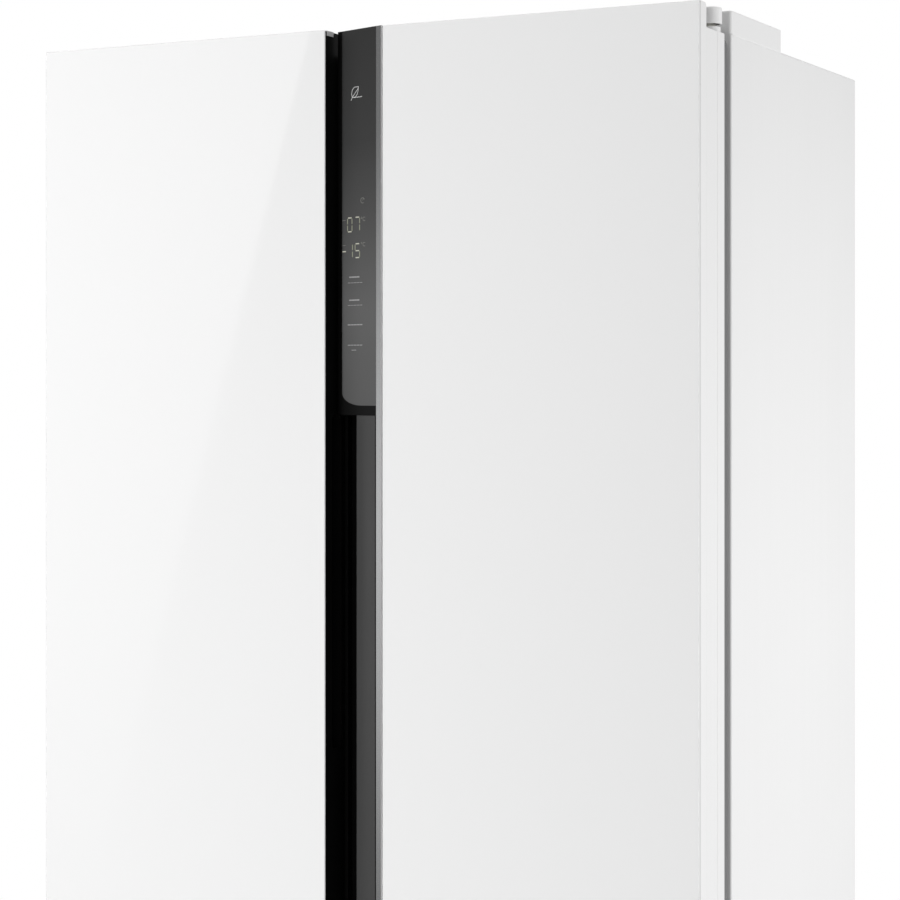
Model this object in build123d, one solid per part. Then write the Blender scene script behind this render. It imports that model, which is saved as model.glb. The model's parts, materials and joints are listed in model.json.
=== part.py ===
from build123d import *
import os

# Side by side refrigerator. Millimetres. +X to the right of someone facing the doors, the doors
# face -Y, +Z up. The origin is on the floor, in the middle of the width and of the whole depth.

# ---------------------------------------------------------------- overall
case_width = 836.0
case_depth = 445.5  # front edge of the cabinet sides to their rear edge
case_top = 1745.5
case_bottom = 30.0
glass_to_case = 97.5  # face of the door glass to the cabinet's front edge
spacer_depth = 57.0  # wall spacers behind the cabinet
sheet = 1.0  # steel sheet of the cabinet
base_sheet = 1.5
case_edge_round = 2.5
back_lid = 2.5  # lid of the main board's box, behind the back panel
board_box_width = 220.0
board_box_height = 140.0
board_box_drop = 160.0  # cabinet top down to the box
board_box_depth = 45.0
board_box_wall = 3.0
board_lid_lap = 8.0
spacer_inset = 168.0  # cabinet side to the middle of a wall spacer
spacer_width = 52.0
spacer_height = 68.0
spacer_wall = 4.0
spacer_round = 10.0
spacer_low_rise = 140.0  # machine space top to the middle of a lower spacer
spacer_high_drop = 110.0  # cabinet top to the middle of an upper spacer
kick_inset = 8.0
kick_low = 10.0
kick_high = 46.0
kick_front = 34.0  # cabinet front edge forward to the kick plate's face
kick_depth = 18.0
kick_wall = 3.0
kick_slot_pitch = 32.0
kick_slot_length = 22.0
kick_slot_height = 4.0
kick_slot_rows = (17.0, 26.0)
kick_clip_inset = 168.0
louvre_rows = 6
louvre_columns = 6
louvre_rise = 26.0
louvre_pitch = 78.0
louvre_length = 62.0
louvre_height = 7.0
louvre_start = 40.0  # cover's lower edge to the first row

# ---------------------------------------------------------------- doors
left_door_width = 388.0
door_gap = 4.0
door_rise = 22.5  # door top above the cabinet top
door_bottom = 62.0
glass_thickness = 4.0
glass_chamfer = 0.8
frame_depth = 20.5  # from the glass face to the back of the front frame
shell_depth = 53.5  # from the glass face to the seam of the inner liner
door_depth = 75.0  # from the glass face to the back of the door
step_drop = 25.5  # front frame's top down to the top of the door shell
frame_wall = 9.0
frame_round = 5.0
shell_wall = 1.5
liner_wall = 2.5
dyke_wall = 12.0
dyke_depth = 43.0
dyke_hinge_inset = 57.0  # door's hinge edge to the dyke
dyke_free_inset = 32.0
dyke_above_drawers = 30.0
dyke_high_inset = 62.0
door_cap = 6.0

# ---------------------------------------------------------------- seals
seal_width = 14.0
seal_outer_inset = 8.0
seal_end_inset = 3.0  # from the door's bottom and from the top of its shell
seal_side_inset = 1.5  # from the door's hinge edge
seal_lip_depth = 15.0  # depth of the seal where it stands outside seal_outer_inset
seal_middle_inset = 3.0
seal_gap = 1.0  # between a seal and the cabinet when the door is shut
seal_round = 10.0

# ---------------------------------------------------------------- grips and control panel
trim_width = 8.0
panel_reach = 61.0  # width of the slanted face from the trim to the door's inner edge
panel_slope = 0.358  # depth gained for each millimetre of width
panel_face_start = 0.8
panel_height = 424.0
panel_glass_reach = 54.0  # width of the control glass on the slanted face
panel_corner_width = 30.0
panel_corner_height = 14.0
panel_glass = 3.0
panel_foot = 11.0  # plain black bar below the control glass
lip_reach = 32.0
lip_thickness = 6.0
channel_wall = 4.0
channel_return = 15.0
left_grip_width = 24.0
left_grip_back = 14.0  # the profile behind the front frame, beside the other door's panel
left_pocket_depth = 18.0
left_pocket_front = 16.0
left_pocket_back = 37.5
left_pocket_height = 380.0

# ---------------------------------------------------------------- hinges
hinge_inset = 12.0  # cabinet side to the hinge axis
hinge_setback = 65.5  # glass face to the hinge axis
pin_radius = 5.0
pin_fit = 0.08
bush_radius = 9.0
bush_fit = 0.1
bush_length = 26.0
bush_collar_radius = 10.5
bush_collar = 6.0
boss_radius = 12.0
boss_height = 17.6
boss_drop = 1.2  # top of the round cap below the top of the cover
boss_round = 1.0
cover_height = 25.0
cover_width = 104.0
cover_length = 165.0
cover_round = 4.0
cover_top_round = 1.2
cover_wall = 2.0
arm_inner = 46.0  # hinge arm's inner edge from the cabinet side
arm_outer = 18.0
hinge_plate = 4.0
hinge_plate_setback = 30.0  # cabinet front edge to the hinge plate
hinge_plate_length = 110.0
hinge_screw_inset = 64.0
hinge_screw_depths = (50.0, 85.0, 120.0)
hinge_screw_hole = 3.2
screw_shank = 2.9
screw_head_radius = 5.5
screw_head = 4.0
lower_plate_width = 62.0
lower_plate = 5.0
lower_plate_front = 12.0  # hinge axis to the bracket's front edge
cover_screw_insets = (18.0, 210.0)
cover_screw_rise = 14.0
cover_screw_radius = 4.5
cover_screw_head = 2.6

# ---------------------------------------------------------------- compartments
side_wall = 45.0
top_wall = 48.5
floor_height = 100.0
rear_wall = 55.0
middle_wall = 48.0
tub_wall = 2.0
tub_flange = 20.0
ledge_width = 10.0
ledge_height = 6.0
machine_depth = 180.0
machine_top = 250.0
machine_clear = 22.0  # insulation between the machine space and the tubs

# ---------------------------------------------------------------- shelves, drawers, bins
shelf_glass = 4.0
shelf_count = 3
shelf_front = 100.0  # cabinet front edge to the shelf fronts
shelf_trim = 14.0
shelf_side_gap = 1.5
drawer_front = 48.0  # cabinet front edge to the drawer fronts
drawer_wall = 2.5
drawer_slack = 1.0
drawer_rail = 7.0
lower_drawer_height = 160.0
upper_drawer_height = 170.0
drawer_space = 26.0
lower_drawer_depth = 160.0
bin_count = 4
bin_height = 95.0
bin_depth = 78.0
bin_wall = 2.5
bin_top_gap = 20.0
bin_low = 150.0  # lowest bin above the top drawer

# ---------------------------------------------------------------- cold and machine parts
freezer_duct_depth = 66.0
fridge_duct_depth = 20.0
fridge_duct_width = 190.0
duct_wall = 2.5
fan_radius = 46.0
fan_hub = 15.0
fan_width = 18.0
fan_blades = 5
fan_blade_sheet = 1.6
fan_clearance = 3.0
fan_pitch_angle = 35
fan_wall_gap = 13.0  # duct cover's inner face to the rotor's middle
fan_rise = 60.0  # third shelf to the evaporator fan's axis
shroud_margin = 12.0
spoke_width = 8.0
spoke = 3.0
condenser_fan_x = -20.0
condenser_fan_rise = 72.0
condenser_x = (-260.0, -90.0)
condenser_height = 100.0
condenser_rise = 26.0
condenser_margin = 40.0
condenser_fins = 14
evaporator_margin = 30.0
evaporator_gaps = (8.0, 52.0)  # from the tub's rear face
evaporator_rise = 90.0  # step in the compartment floor to the evaporator
evaporator_top = 140.0  # above the second shelf
evaporator_fins = 18
tube_rows = 5
fin_half = 0.6
drain_pan_x = (-300.0, -70.0)
drain_pan_margin = 26.0
drain_pan_height = 20.5
drain_pan_wall = 2.0
shaft_radius = 2.5
shaft_fit = 0.06
motor_radius = 20.0
motor_length = 26.0
compressor_radius = 64.0
compressor_height = 150.0
compressor_x = 170.0
compressor_plate = (95.0, 60.0)
grommet_height = 16.0
grommet_radius = 9.0
duct_rise = 60.0  # step in the compartment floor to the duct covers
duct_slot = (8.0, 54.0)  # height, and drop below the shelf to its lower edge
duct_slot_wide = 40.0
lamp_length = 140.0
lamp_width = 34.0
lamp_height = 9.0
roller_radius = 20.0
roller_width = 22.0
axle_radius = 4.0
axle_fit = 0.08
roller_clearance = 3.0
roller_setback = 50.0
wheel_inset = 62.0  # cabinet side to the middle of a roller or foot
foot_setback = 50.0
gland_inset = 78.0  # cabinet side to the cord gland
gland_height = 200.0
gland_radius = 8.0
gland_bore = 3.8
foot_radius = 19.0
foot_pad = 9.0
foot_nut = 8.0
foot_nut_radius = 11.0
boss_wall = 5.0
boss_length = 12.5
stud_radius = 5.0
stud_fit = 0.08

# ---------------------------------------------------------------- places worked out from the above
trim_rise = panel_slope * trim_width - panel_face_start  # trim's edge in front of the glass
y_glass = (trim_rise - glass_to_case - case_depth - spacer_depth) / 2
y_case = y_glass + glass_to_case
y_rear = y_case + case_depth
x_side = case_width / 2
door_top = case_top + door_rise
step_top = door_top - step_drop
y_glass_back = y_glass + glass_thickness
y_frame = y_glass + frame_depth
y_shell = y_glass + shell_depth
y_door = y_glass + door_depth
x_left_edge = -x_side + left_door_width  # inner edge of the left door
x_right_edge = x_left_edge + door_gap  # inner edge of the right door
x_trim = x_right_edge + panel_reach
x_right_body = x_trim + channel_wall
x_middle = x_left_edge + door_gap / 2
x_hinge = x_side - hinge_inset
y_hinge = y_glass + hinge_setback
y_machine = y_rear - machine_depth
y_roller = y_rear - roller_setback
x_gland = x_side - gland_inset
y_tub = y_rear - rear_wall
tub_top = case_top - top_wall
freezer_x = (-x_side + side_wall, x_middle - middle_wall / 2)
fridge_x = (x_middle + middle_wall / 2, x_side - side_wall)
y_step = y_machine - machine_clear
step_floor = machine_top + machine_clear
lower_drawer_z = floor_height + ledge_height
upper_drawer_z = step_floor + ledge_height
upper_drawer_top = upper_drawer_z + upper_drawer_height
first_shelf = upper_drawer_top + drawer_space
shelf_pitch = (tub_top - first_shelf) / (shelf_count + 1)
shelf_heights = [first_shelf + shelf_pitch * n for n in range(shelf_count + 1)]
y_duct = y_tub - freezer_duct_depth
y_fridge_duct = y_tub - fridge_duct_depth
y_shelf = y_case + shelf_front
dyke_low = upper_drawer_top + dyke_above_drawers
dyke_high = step_top - dyke_high_inset
bin_first = upper_drawer_top + bin_low
bin_pitch = (dyke_high - dyke_wall - bin_top_gap - bin_height - bin_first) / (bin_count - 1)
bin_heights = [bin_first + bin_pitch * n for n in range(bin_count)]


# ---------------------------------------------------------------- shape helpers
def block(x, y, z):
    """Box between low and high values on each axis."""
    middle = [(low + high) / 2 for low, high in (x, y, z)]
    size = [high - low for low, high in (x, y, z)]
    return Pos(*middle) * Box(*size)


def inset(span, low, high=None):
    """A span made smaller by low at its start and by high at its end."""
    return (span[0] + low, span[1] - (low if high is None else high))


def slab(x, y, z, radius):
    """Upright plate whose four corners, seen from the front, are round."""
    plane = Plane(
        origin=((x[0] + x[1]) / 2, y[1], (z[0] + z[1]) / 2), x_dir=(1, 0, 0), z_dir=(0, -1, 0)
    )
    return extrude(plane * RectangleRounded(x[1] - x[0], z[1] - z[0], radius), y[1] - y[0])


def prism(points, z):
    """Upright solid on an outline of (x, y) points."""
    outline = Pos(0, 0, z[0]) * Polygon(*points, align=None)
    return extrude(outline, z[1] - z[0], dir=(0, 0, 1))


def post(x, y, z, radius):
    """Upright round bar from z[0] to z[1]."""
    return Pos(x, y, (z[0] + z[1]) / 2) * Cylinder(radius, z[1] - z[0])


def bar_x(x, y, z, radius):
    """Round bar along X."""
    return Pos((x[0] + x[1]) / 2, y, z) * Rot(0, 90, 0) * Cylinder(radius, x[1] - x[0])


def bar_y(x, y, z, radius):
    """Round bar along Y."""
    return Pos(x, (y[0] + y[1]) / 2, z) * Rot(90, 0, 0) * Cylinder(radius, y[1] - y[0])


def tray(x, y, z, wall):
    """Open-topped box."""
    return block(x, y, z) - block(inset(x, wall), inset(y, wall), (z[0] + wall, z[1] + 1))


def both_sides(shape):
    """The shape and its mirror image in the middle plane."""
    return shape + mirror(shape, about=Plane.YZ)


def write(name, shape):
    export_step(shape, f"parts/{name}.step")


# ---------------------------------------------------------------- cabinet
def outer_case():
    """Steel wrap: two sides and the top, with a flange turned in round the front."""
    x = (-x_side, x_side)
    y = (y_case, y_rear)
    wrap = block(x, y, (case_bottom, case_top))
    wrap -= block(inset(x, sheet), (y_case - 1, y_rear + 1), (case_bottom - 1, case_top - sheet))
    flange = block(x, (y_case, y_case + sheet), (case_bottom, case_top))
    flange -= block(
        inset(x, side_wall - tub_flange),
        (y_case - 1, y_case + 2 * sheet),
        (case_bottom - 1, tub_top + tub_flange),
    )
    case = wrap + flange
    front = case.edges().filter_by(Axis.Z).group_by(Axis.Y)[0].sort_by(Axis.X)
    sides = case.edges().filter_by(Axis.Y).group_by(Axis.Z)[-1].sort_by(Axis.X)
    return fillet([front[0], front[-1], sides[0], sides[-1]], case_edge_round)


def base_pan():
    """Bent sheet under the cabinet: front cross member, floor, machine space wall and roof."""
    x = inset((-x_side, x_side), sheet)
    pan = block(x, (y_case + sheet, y_rear), (case_bottom, case_bottom + base_sheet))
    pan += block(
        inset(x, side_wall - tub_flange - sheet),
        (y_case, y_case + base_sheet),
        (case_bottom, floor_height - tub_flange),
    )
    pan += block(x, (y_machine, y_machine + base_sheet), (case_bottom, machine_top))
    pan += block(x, (y_machine, y_rear - sheet), (machine_top, machine_top + base_sheet))
    for side in (-1, 1):
        place = (side * (x_side - wheel_inset), y_case + foot_setback)
        top = case_bottom + base_sheet + boss_length
        pan += post(*place, (case_bottom + base_sheet, top), stud_radius + boss_wall)
        pan -= post(*place, (case_bottom - 1, top + 1), stud_radius + stud_fit)
    wheel_slot = block(
        inset(roller_x(), -roller_clearance),
        (y_roller - roller_radius - roller_clearance, y_roller + roller_radius + roller_clearance),
        (case_bottom - 1, case_bottom + base_sheet + 1),
    )
    return pan - both_sides(wheel_slot)


def tub_outline(x, grow):
    """Closed block of a compartment, grown outwards by grow, stepped over the machine space."""
    upper = block(
        inset(x, -grow), (y_case, y_tub + grow), (step_floor - grow, tub_top + grow)
    )
    lower = block(
        inset(x, -grow), (y_case, y_step + grow), (floor_height - grow, step_floor + grow)
    )
    return upper + lower


def ledges(x, z, y):
    """A pair of rails on a compartment's side walls."""
    rails = block((x[0], x[0] + ledge_width), y, (z - ledge_height, z))
    return rails + block((x[1] - ledge_width, x[1]), y, (z - ledge_height, z))


def tub(x, y_back, flange_side):
    """Moulded compartment, open to the front, with rails for its shelves and drawers."""
    shape = tub_outline(x, tub_wall)
    flange_x = (x[0] - tub_flange, x[1]) if flange_side < 0 else (x[0], x[1] + tub_flange)
    shape += block(
        flange_x, (y_case, y_case + tub_wall), (floor_height - tub_flange, tub_top + tub_flange)
    )
    shape -= tub_outline(x, 0)
    shape -= block(x, (y_case - 1, y_case + 2 * tub_wall), (floor_height, tub_top))
    for height in shelf_heights:
        shape += ledges(x, height, (y_shelf, y_back))
    rail_y = (y_case + drawer_front, y_case + drawer_front + lower_drawer_depth)
    shape += ledges(x, lower_rail_height(), rail_y)
    shape += ledges(x, upper_rail_height(), (y_case + drawer_front, y_back))
    return shape


def lower_rail_height():
    return lower_drawer_z + lower_drawer_height - drawer_rail - drawer_slack


def upper_rail_height():
    return upper_drawer_top - drawer_rail - drawer_slack


def cabinet_foam():
    """Insulation that fills the space between the wrap, the two tubs and the base."""
    x = inset((-x_side, x_side), sheet)
    foam = block(x, (y_case + tub_wall, y_machine), (floor_height - tub_flange, case_top - sheet))
    foam += block(
        x, (y_machine - 1, y_rear - sheet), (machine_top + base_sheet, case_top - sheet)
    )
    for span in (freezer_x, fridge_x):
        foam -= tub_outline(span, tub_wall)
    foam -= control_recess()
    return foam


def control_recess():
    x = board_box_width / 2
    top = case_top - board_box_drop
    return block((-x, x), (y_rear - board_box_depth, y_rear + 1), (top - board_box_height, top))


def control_box():
    """Shallow tray for the main board, with its lid, let into the back."""
    x = (-board_box_width / 2, board_box_width / 2)
    z = (case_top - board_box_drop - board_box_height, case_top - board_box_drop)
    y = (y_rear - board_box_depth, y_rear)
    wall = board_box_wall
    box = block(x, y, z) - block(inset(x, wall), inset(y, wall), inset(z, wall))
    return box + slab(
        inset(x, -board_lid_lap), (y_rear, y_rear + back_lid), inset(z, -board_lid_lap), 6
    )


def back_panel():
    panel = block(
        inset((-x_side, x_side), sheet),
        (y_rear - sheet, y_rear),
        (machine_top, case_top - sheet),
    )
    return panel - control_recess()


def mullion_strip():
    """Steel strip on the front of the wall between the compartments."""
    x = (freezer_x[1] + tub_wall, fridge_x[0] - tub_wall)
    z = (floor_height - tub_flange, tub_top + tub_flange)
    return block(x, (y_case, y_case + tub_wall), z)


def machine_cover():
    """Louvred plate over the machine space, with a hole for the cord gland."""
    z = (case_bottom + base_sheet, machine_top)
    cover = block(inset((-x_side, x_side), sheet), (y_rear - base_sheet, y_rear), z)
    for row in range(louvre_rows):
        height = z[0] + louvre_start + louvre_rise * row
        for column in range(louvre_columns):
            x = (column - louvre_columns / 2) * louvre_pitch + (louvre_pitch - louvre_length) / 2
            cover -= slab(
                (x, x + louvre_length), (y_rear - 3, y_rear + 1), (height, height + louvre_height), 3
            )
    return cover - bar_y(x_gland, (y_rear - 5, y_rear + 5), gland_height, gland_radius)


def cord_gland():
    """Flanged rubber grommet that the supply cord would leave through."""
    gland = bar_y(x_gland, (y_rear - 6, y_rear), gland_height, gland_radius - 0.1)
    gland += bar_y(x_gland, (y_rear, y_rear + 4), gland_height, gland_radius + 4)
    gland += bar_y(x_gland, (y_rear + 4, y_rear + 14), gland_height, gland_radius - 2)
    return gland - bar_y(x_gland, (y_rear - 7, y_rear + 15), gland_height, gland_bore)


def rear_spacers():
    """Four hollow stand-offs that keep the back away from the wall."""
    spacers = Part()
    for x in (spacer_inset - x_side, x_side - spacer_inset):
        for z in (machine_top + spacer_low_rise, case_top - spacer_high_drop):
            span = (x - spacer_width / 2, x + spacer_width / 2)
            y = (y_rear, y_rear + spacer_depth)
            tall = (z - spacer_height / 2, z + spacer_height / 2)
            bumper = slab(span, y, tall, spacer_round)
            bumper -= slab(
                inset(span, spacer_wall),
                inset(y, spacer_wall),
                inset(tall, spacer_wall, -spacer_round),
                spacer_round - spacer_wall,
            )
            spacers += bumper
    return spacers


def kick_plate():
    """Slotted strip below the doors, clipped to the cross member."""
    x = inset((-x_side, x_side), kick_inset)
    y = (y_case - kick_front, y_case - kick_front + kick_depth)
    wall = kick_wall
    plate = block(x, y, (kick_low, kick_high))
    plate -= block(inset(x, wall), (y[0] + wall, y[1] + 1), (kick_low - 1, kick_high - wall))
    side_slots = int((x[1] - kick_slot_length) / kick_slot_pitch)
    for n in range(-side_slots, side_slots + 1):
        middle = n * kick_slot_pitch
        slot_x = (middle - kick_slot_length / 2, middle + kick_slot_length / 2)
        for low in kick_slot_rows:
            plate -= block(slot_x, (y[0] - 1, y[0] + wall + 1), (low, low + kick_slot_height))
    clip = x_side - kick_clip_inset
    clips = block((clip - 12, clip + 12), (y[0] + wall - 1, y_case), (kick_high - 10, kick_high - 2))
    return plate + both_sides(clips)


# ---------------------------------------------------------------- hinges
def upper_hinge():
    """Right upper hinge: plate screwed to the cabinet top, raised arm, pin pointing down."""
    arm_low = case_top + cover_height - boss_height + cover_wall - boss_drop
    arm_z = (arm_low, arm_low + hinge_plate)
    plate_x = (x_side - cover_width + 14, x_side - arm_outer)
    arm_x = (x_side - arm_inner + 4, x_side - arm_outer - cover_wall - 0.5)
    y_plate = y_case + hinge_plate_setback
    hinge = block(
        plate_x, (y_plate, y_plate + hinge_plate_length), (case_top, case_top + hinge_plate)
    )
    hinge += block(arm_x, (y_plate, y_plate + hinge_plate), (case_top, arm_z[1]))
    hinge += block(arm_x, (y_hinge, y_plate + hinge_plate), arm_z)
    hinge += block((arm_x[0], x_hinge), (y_hinge, y_hinge + 5), arm_z)
    hinge += post(x_hinge, y_hinge, arm_z, boss_radius - 3)
    hinge += post(x_hinge, y_hinge, (step_top - bush_length + 6, arm_z[1]), pin_radius)
    for x, y in hinge_screw_places():
        hinge -= post(x, y, (case_top - 1, case_top + hinge_plate + 1), hinge_screw_hole)
    return hinge


def hinge_screw_places():
    return [(x_side - hinge_screw_inset, y_case + depth) for depth in hinge_screw_depths]


def hinge_cover():
    """Right hinge cover: hollow box on the cabinet top with a bridge to a round cap."""
    top = case_top + cover_height
    outline = Pos(x_side - cover_width / 2, y_case + cover_length / 2, case_top) * extrude(
        RectangleRounded(cover_width, cover_length, cover_round), cover_height
    )
    outline = fillet(outline.faces().sort_by(Axis.Z)[-1].edges(), cover_top_round)
    bridge_x = (x_side - arm_inner, x_side - arm_outer)
    z_high = top - boss_drop
    z_low = z_high - boss_height
    bridge = block(bridge_x, (y_hinge, y_case + cover_round), (z_low, z_high))
    cap = post(x_hinge, y_hinge, (z_low, z_high), boss_radius)
    cap = fillet(cap.faces().sort_by(Axis.Z)[-1].edges(), boss_round)
    solid = outline + bridge + cap
    inner = block(
        inset((x_side - cover_width, x_side), cover_wall),
        inset((y_case, y_case + cover_length), cover_wall),
        (case_top - 1, top - cover_wall),
    )
    inner += block(
        inset(bridge_x, cover_wall),
        (y_hinge, y_case + cover_round),
        (z_low - 1, z_high - cover_wall),
    )
    inner += post(x_hinge, y_hinge, (z_low - 1, z_high - cover_wall), boss_radius - cover_wall)
    inner_limit = block(
        (x_side - cover_width - 1, x_side + 1), (y_hinge - 60, y_rear), (case_top - 2, top + 1)
    )
    corner = post(x_side - cover_round, y_case + cover_round, (case_top - 2, top), cover_round - 2)
    keep_corners = block((x_side - cover_round, x_side), (y_case, y_case + cover_round),
                         (case_top - 2, top)) - corner
    return solid - ((inner & inner_limit) - keep_corners)


def lower_hinge():
    """Right lower hinge: angle bracket on the cross member with a pin pointing up."""
    x = (x_side - lower_plate_width, x_side - 1)
    z_plate = (door_bottom - 2 * lower_plate, door_bottom - lower_plate)
    hinge = block(x, (y_hinge - lower_plate_front, y_case), z_plate)
    hinge += block(x, (y_case - hinge_plate, y_case), (case_bottom + 2, z_plate[1]))
    hinge += post(x_hinge, y_hinge, (z_plate[1], door_bottom + bush_length - 4), pin_radius)
    hinge += post(x_hinge, y_hinge, (z_plate[1], door_bottom - bush_fit - 1), bush_radius)
    return hinge


def screws():
    """Pan-head screws: hinges, machine cover and control box lid."""
    heads = Part()
    for x, y in hinge_screw_places():
        plate_top = case_top + hinge_plate
        head = post(x, y, (plate_top, plate_top + screw_head), screw_head_radius)
        heads += both_sides(head + post(x, y, (case_top, plate_top), screw_shank))
    for side_inset in cover_screw_insets:
        for z in (case_bottom + cover_screw_rise, machine_top - cover_screw_rise):
            head = bar_y(x_side - side_inset, (y_rear, y_rear + cover_screw_head), z, cover_screw_radius)
            heads += both_sides(head)
    y_lid = y_rear + back_lid
    for z in (case_top - board_box_drop - board_box_height, case_top - board_box_drop):
        head = bar_y(board_box_width / 2 + 2, (y_lid, y_lid + cover_screw_head), z, cover_screw_radius - 0.5)
        heads += both_sides(head)
    return heads


# ---------------------------------------------------------------- feet and rollers
def front_foot():
    """Right levelling foot: round pad, hexagonal collar, threaded stud."""
    x = x_side - wheel_inset
    y = y_case + foot_setback
    foot = fillet(post(x, y, (0, foot_pad), foot_radius).edges(), 1.5)
    foot += extrude(Pos(x, y, foot_pad) * RegularPolygon(foot_nut_radius, 6), foot_nut)
    return foot + post(x, y, (foot_pad + foot_nut, case_bottom + 24), stud_radius)


def roller_x():
    middle = x_side - wheel_inset
    return (middle - roller_width / 2, middle + roller_width / 2)


def rear_roller():
    """Right rear roller with a rounded tread."""
    wheel = bar_x(roller_x(), y_roller, roller_radius, roller_radius)
    wheel = fillet(wheel.edges(), 3)
    return wheel - bar_x(inset(roller_x(), -1), y_roller, roller_radius, axle_radius + axle_fit)


def roller_bracket():
    """Right roller bracket: two cheeks and the axle, under the base pan."""
    cheek_x = inset(roller_x(), -1)
    y = (y_roller - 16, y_roller + 16)
    z = (roller_radius - 10, case_bottom)
    bracket = block((cheek_x[0] - 3, cheek_x[0]), y, z) + block((cheek_x[1], cheek_x[1] + 3), y, z)
    bracket += bar_x(inset(cheek_x, -6), y_roller, roller_radius, axle_radius)
    return bracket


# ---------------------------------------------------------------- cooling and machine parts
def fan(radius):
    """Fan rotor about +Z, its hub open at the back for the motor shaft."""
    rotor = Cylinder(fan_hub, fan_width)
    for n in range(fan_blades):
        blade = Pos((fan_hub + radius) / 2 - 1, 0, 0) * Rot(fan_pitch_angle, 0, 0) * Box(
            radius - fan_hub + 2, fan_width * 1.15, fan_blade_sheet
        )
        rotor += Rot(0, 0, n * 360 / fan_blades) * blade
    return rotor - Pos(0, 0, -3) * Cylinder(shaft_radius + shaft_fit, fan_width)


def fan_motor(radius):
    """Motor behind the rotor, on a square shroud that surrounds the blades."""
    side = 2 * (radius + shroud_margin)
    shroud = Box(side, side, fan_width + 4) - Cylinder(radius + fan_clearance, fan_width + 6)
    back = -fan_width / 2 - 2
    spokes = Pos(0, 0, back - spoke / 2) * Box(side, spoke_width, spoke)
    spokes += Pos(0, 0, back - spoke / 2) * Box(spoke_width, side, spoke)
    motor = Pos(0, 0, back - motor_length / 2) * Cylinder(motor_radius, motor_length)
    shaft = Pos(0, 0, -4) * Cylinder(shaft_radius, fan_width)
    return shroud + spokes + motor + shaft


evaporator_fan_place = Pos(
    (freezer_x[0] + freezer_x[1]) / 2, y_duct + duct_wall + fan_wall_gap, shelf_heights[2] + fan_rise
) * Rot(90, 0, 0)
condenser_fan_place = Pos(
    condenser_fan_x, y_machine + machine_depth / 2, case_bottom + condenser_fan_rise
) * Rot(0, -90, 0)


def fan_motors():
    return evaporator_fan_place * fan_motor(fan_radius) + condenser_fan_place * fan_motor(
        fan_radius
    )


def finned_block(x, y, z, fins, tube_radius):
    """Stack of upright fins with straight tubes through them."""
    pitch = (x[1] - x[0]) / fins
    shape = Part()
    for n in range(fins + 1):
        middle = x[0] + n * pitch
        shape += block((middle - fin_half, middle + fin_half), y, z)
    for n in range(tube_rows):
        height = z[0] + (z[1] - z[0]) * (n + 0.5) / tube_rows
        for depth in (0.28, 0.72):
            place = y[0] + (y[1] - y[0]) * depth
            shape += bar_x((x[0] - 6, x[1] + 6), place, height, tube_radius)
    return shape


def evaporator():
    x = inset(freezer_x, evaporator_margin)
    y = (y_tub - evaporator_gaps[1], y_tub - evaporator_gaps[0])
    z = (step_floor + evaporator_rise, shelf_heights[1] + evaporator_top)
    return finned_block(x, y, z, evaporator_fins, 4)


def condenser():
    y = inset((y_machine, y_rear), condenser_margin)
    z = (case_bottom + condenser_rise, case_bottom + condenser_rise + condenser_height)
    return finned_block(condenser_x, y, z, condenser_fins, 3)


def compressor():
    """Welded steel can on a foot plate, with its terminal box and process stubs."""
    x = compressor_x
    y = y_machine + machine_depth / 2
    z = case_bottom + base_sheet + grommet_height
    can = post(x, y, (z, z + compressor_height), compressor_radius)
    can = fillet(can.faces().sort_by(Axis.Z)[-1].edges(), 34)
    can = fillet(can.faces().sort_by(Axis.Z)[0].edges(), 20)
    wide, deep = compressor_plate
    plate = block((x - wide, x + wide), (y - deep, y + deep), (z + 2, z + 5))
    stubs = post(x + 40, y + 20, (z + 120, z + 175), 4) + post(x - 40, y + 20, (z + 120, z + 170), 3)
    terminals = block((x + 50, x + 78), (y - 28, y + 28), (z + 40, z + 92))
    grommets = Part()
    for dx in (13 - wide, wide - 13):
        for dy in (14 - deep, deep - 14):
            grommets += post(x + dx, y + dy, (z - grommet_height, z + 2), grommet_radius)
    return can + plate + stubs + terminals + grommets


def drain_pan():
    """Shallow tray under the condenser that catches defrost water."""
    y = inset((y_machine, y_rear), drain_pan_margin)
    low = case_bottom + base_sheet
    return tray(drain_pan_x, y, (low, low + drain_pan_height), drain_pan_wall)


def freezer_duct_cover():
    """Panel in front of the evaporator, with air slots and the fan's grille."""
    z = (step_floor + duct_rise, tub_top)
    x = freezer_x
    cover = block(x, (y_duct, y_tub), z)
    cover -= block(inset(x, duct_wall), (y_duct + duct_wall, y_tub + 1), inset(z, duct_wall))
    middle = (x[0] + x[1]) / 2
    for shelf in shelf_heights[1:]:
        low = shelf - duct_slot[1] - duct_slot[0]
        for n in range(-2, 3):
            slot = middle + n * (duct_slot_wide + 12)
            slot_x = (slot - duct_slot_wide / 2, slot + duct_slot_wide / 2)
            cover -= slab(slot_x, (y_duct - 1, y_duct + 4), (low, low + duct_slot[0]), 3)
    for n in range(6):
        height = shelf_heights[2] + fan_rise / 2 + n * 12
        cover -= slab((middle - 40, middle + 40), (y_duct - 1, y_duct + 4), (height, height + 6), 2.5)
    return cover


def fridge_duct_cover():
    """Slim air duct up the middle of the refrigerator's back wall."""
    middle = (fridge_x[0] + fridge_x[1]) / 2
    x = (middle - fridge_duct_width / 2, middle + fridge_duct_width / 2)
    z = (step_floor + duct_rise, tub_top)
    cover = block(x, (y_fridge_duct, y_tub), z)
    cover -= block(inset(x, duct_wall), (y_fridge_duct + duct_wall, y_tub + 1), inset(z, duct_wall))
    for shelf in shelf_heights[1:]:
        low = shelf - duct_slot[1] - duct_slot[0]
        for side in (-1, 1):
            slot = middle + side * (duct_slot_wide + 5)
            slot_x = (slot - duct_slot_wide / 2, slot + duct_slot_wide / 2)
            cover -= slab(slot_x, (y_fridge_duct - 1, y_fridge_duct + 4), (low, low + duct_slot[0]), 3)
    return cover


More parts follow.
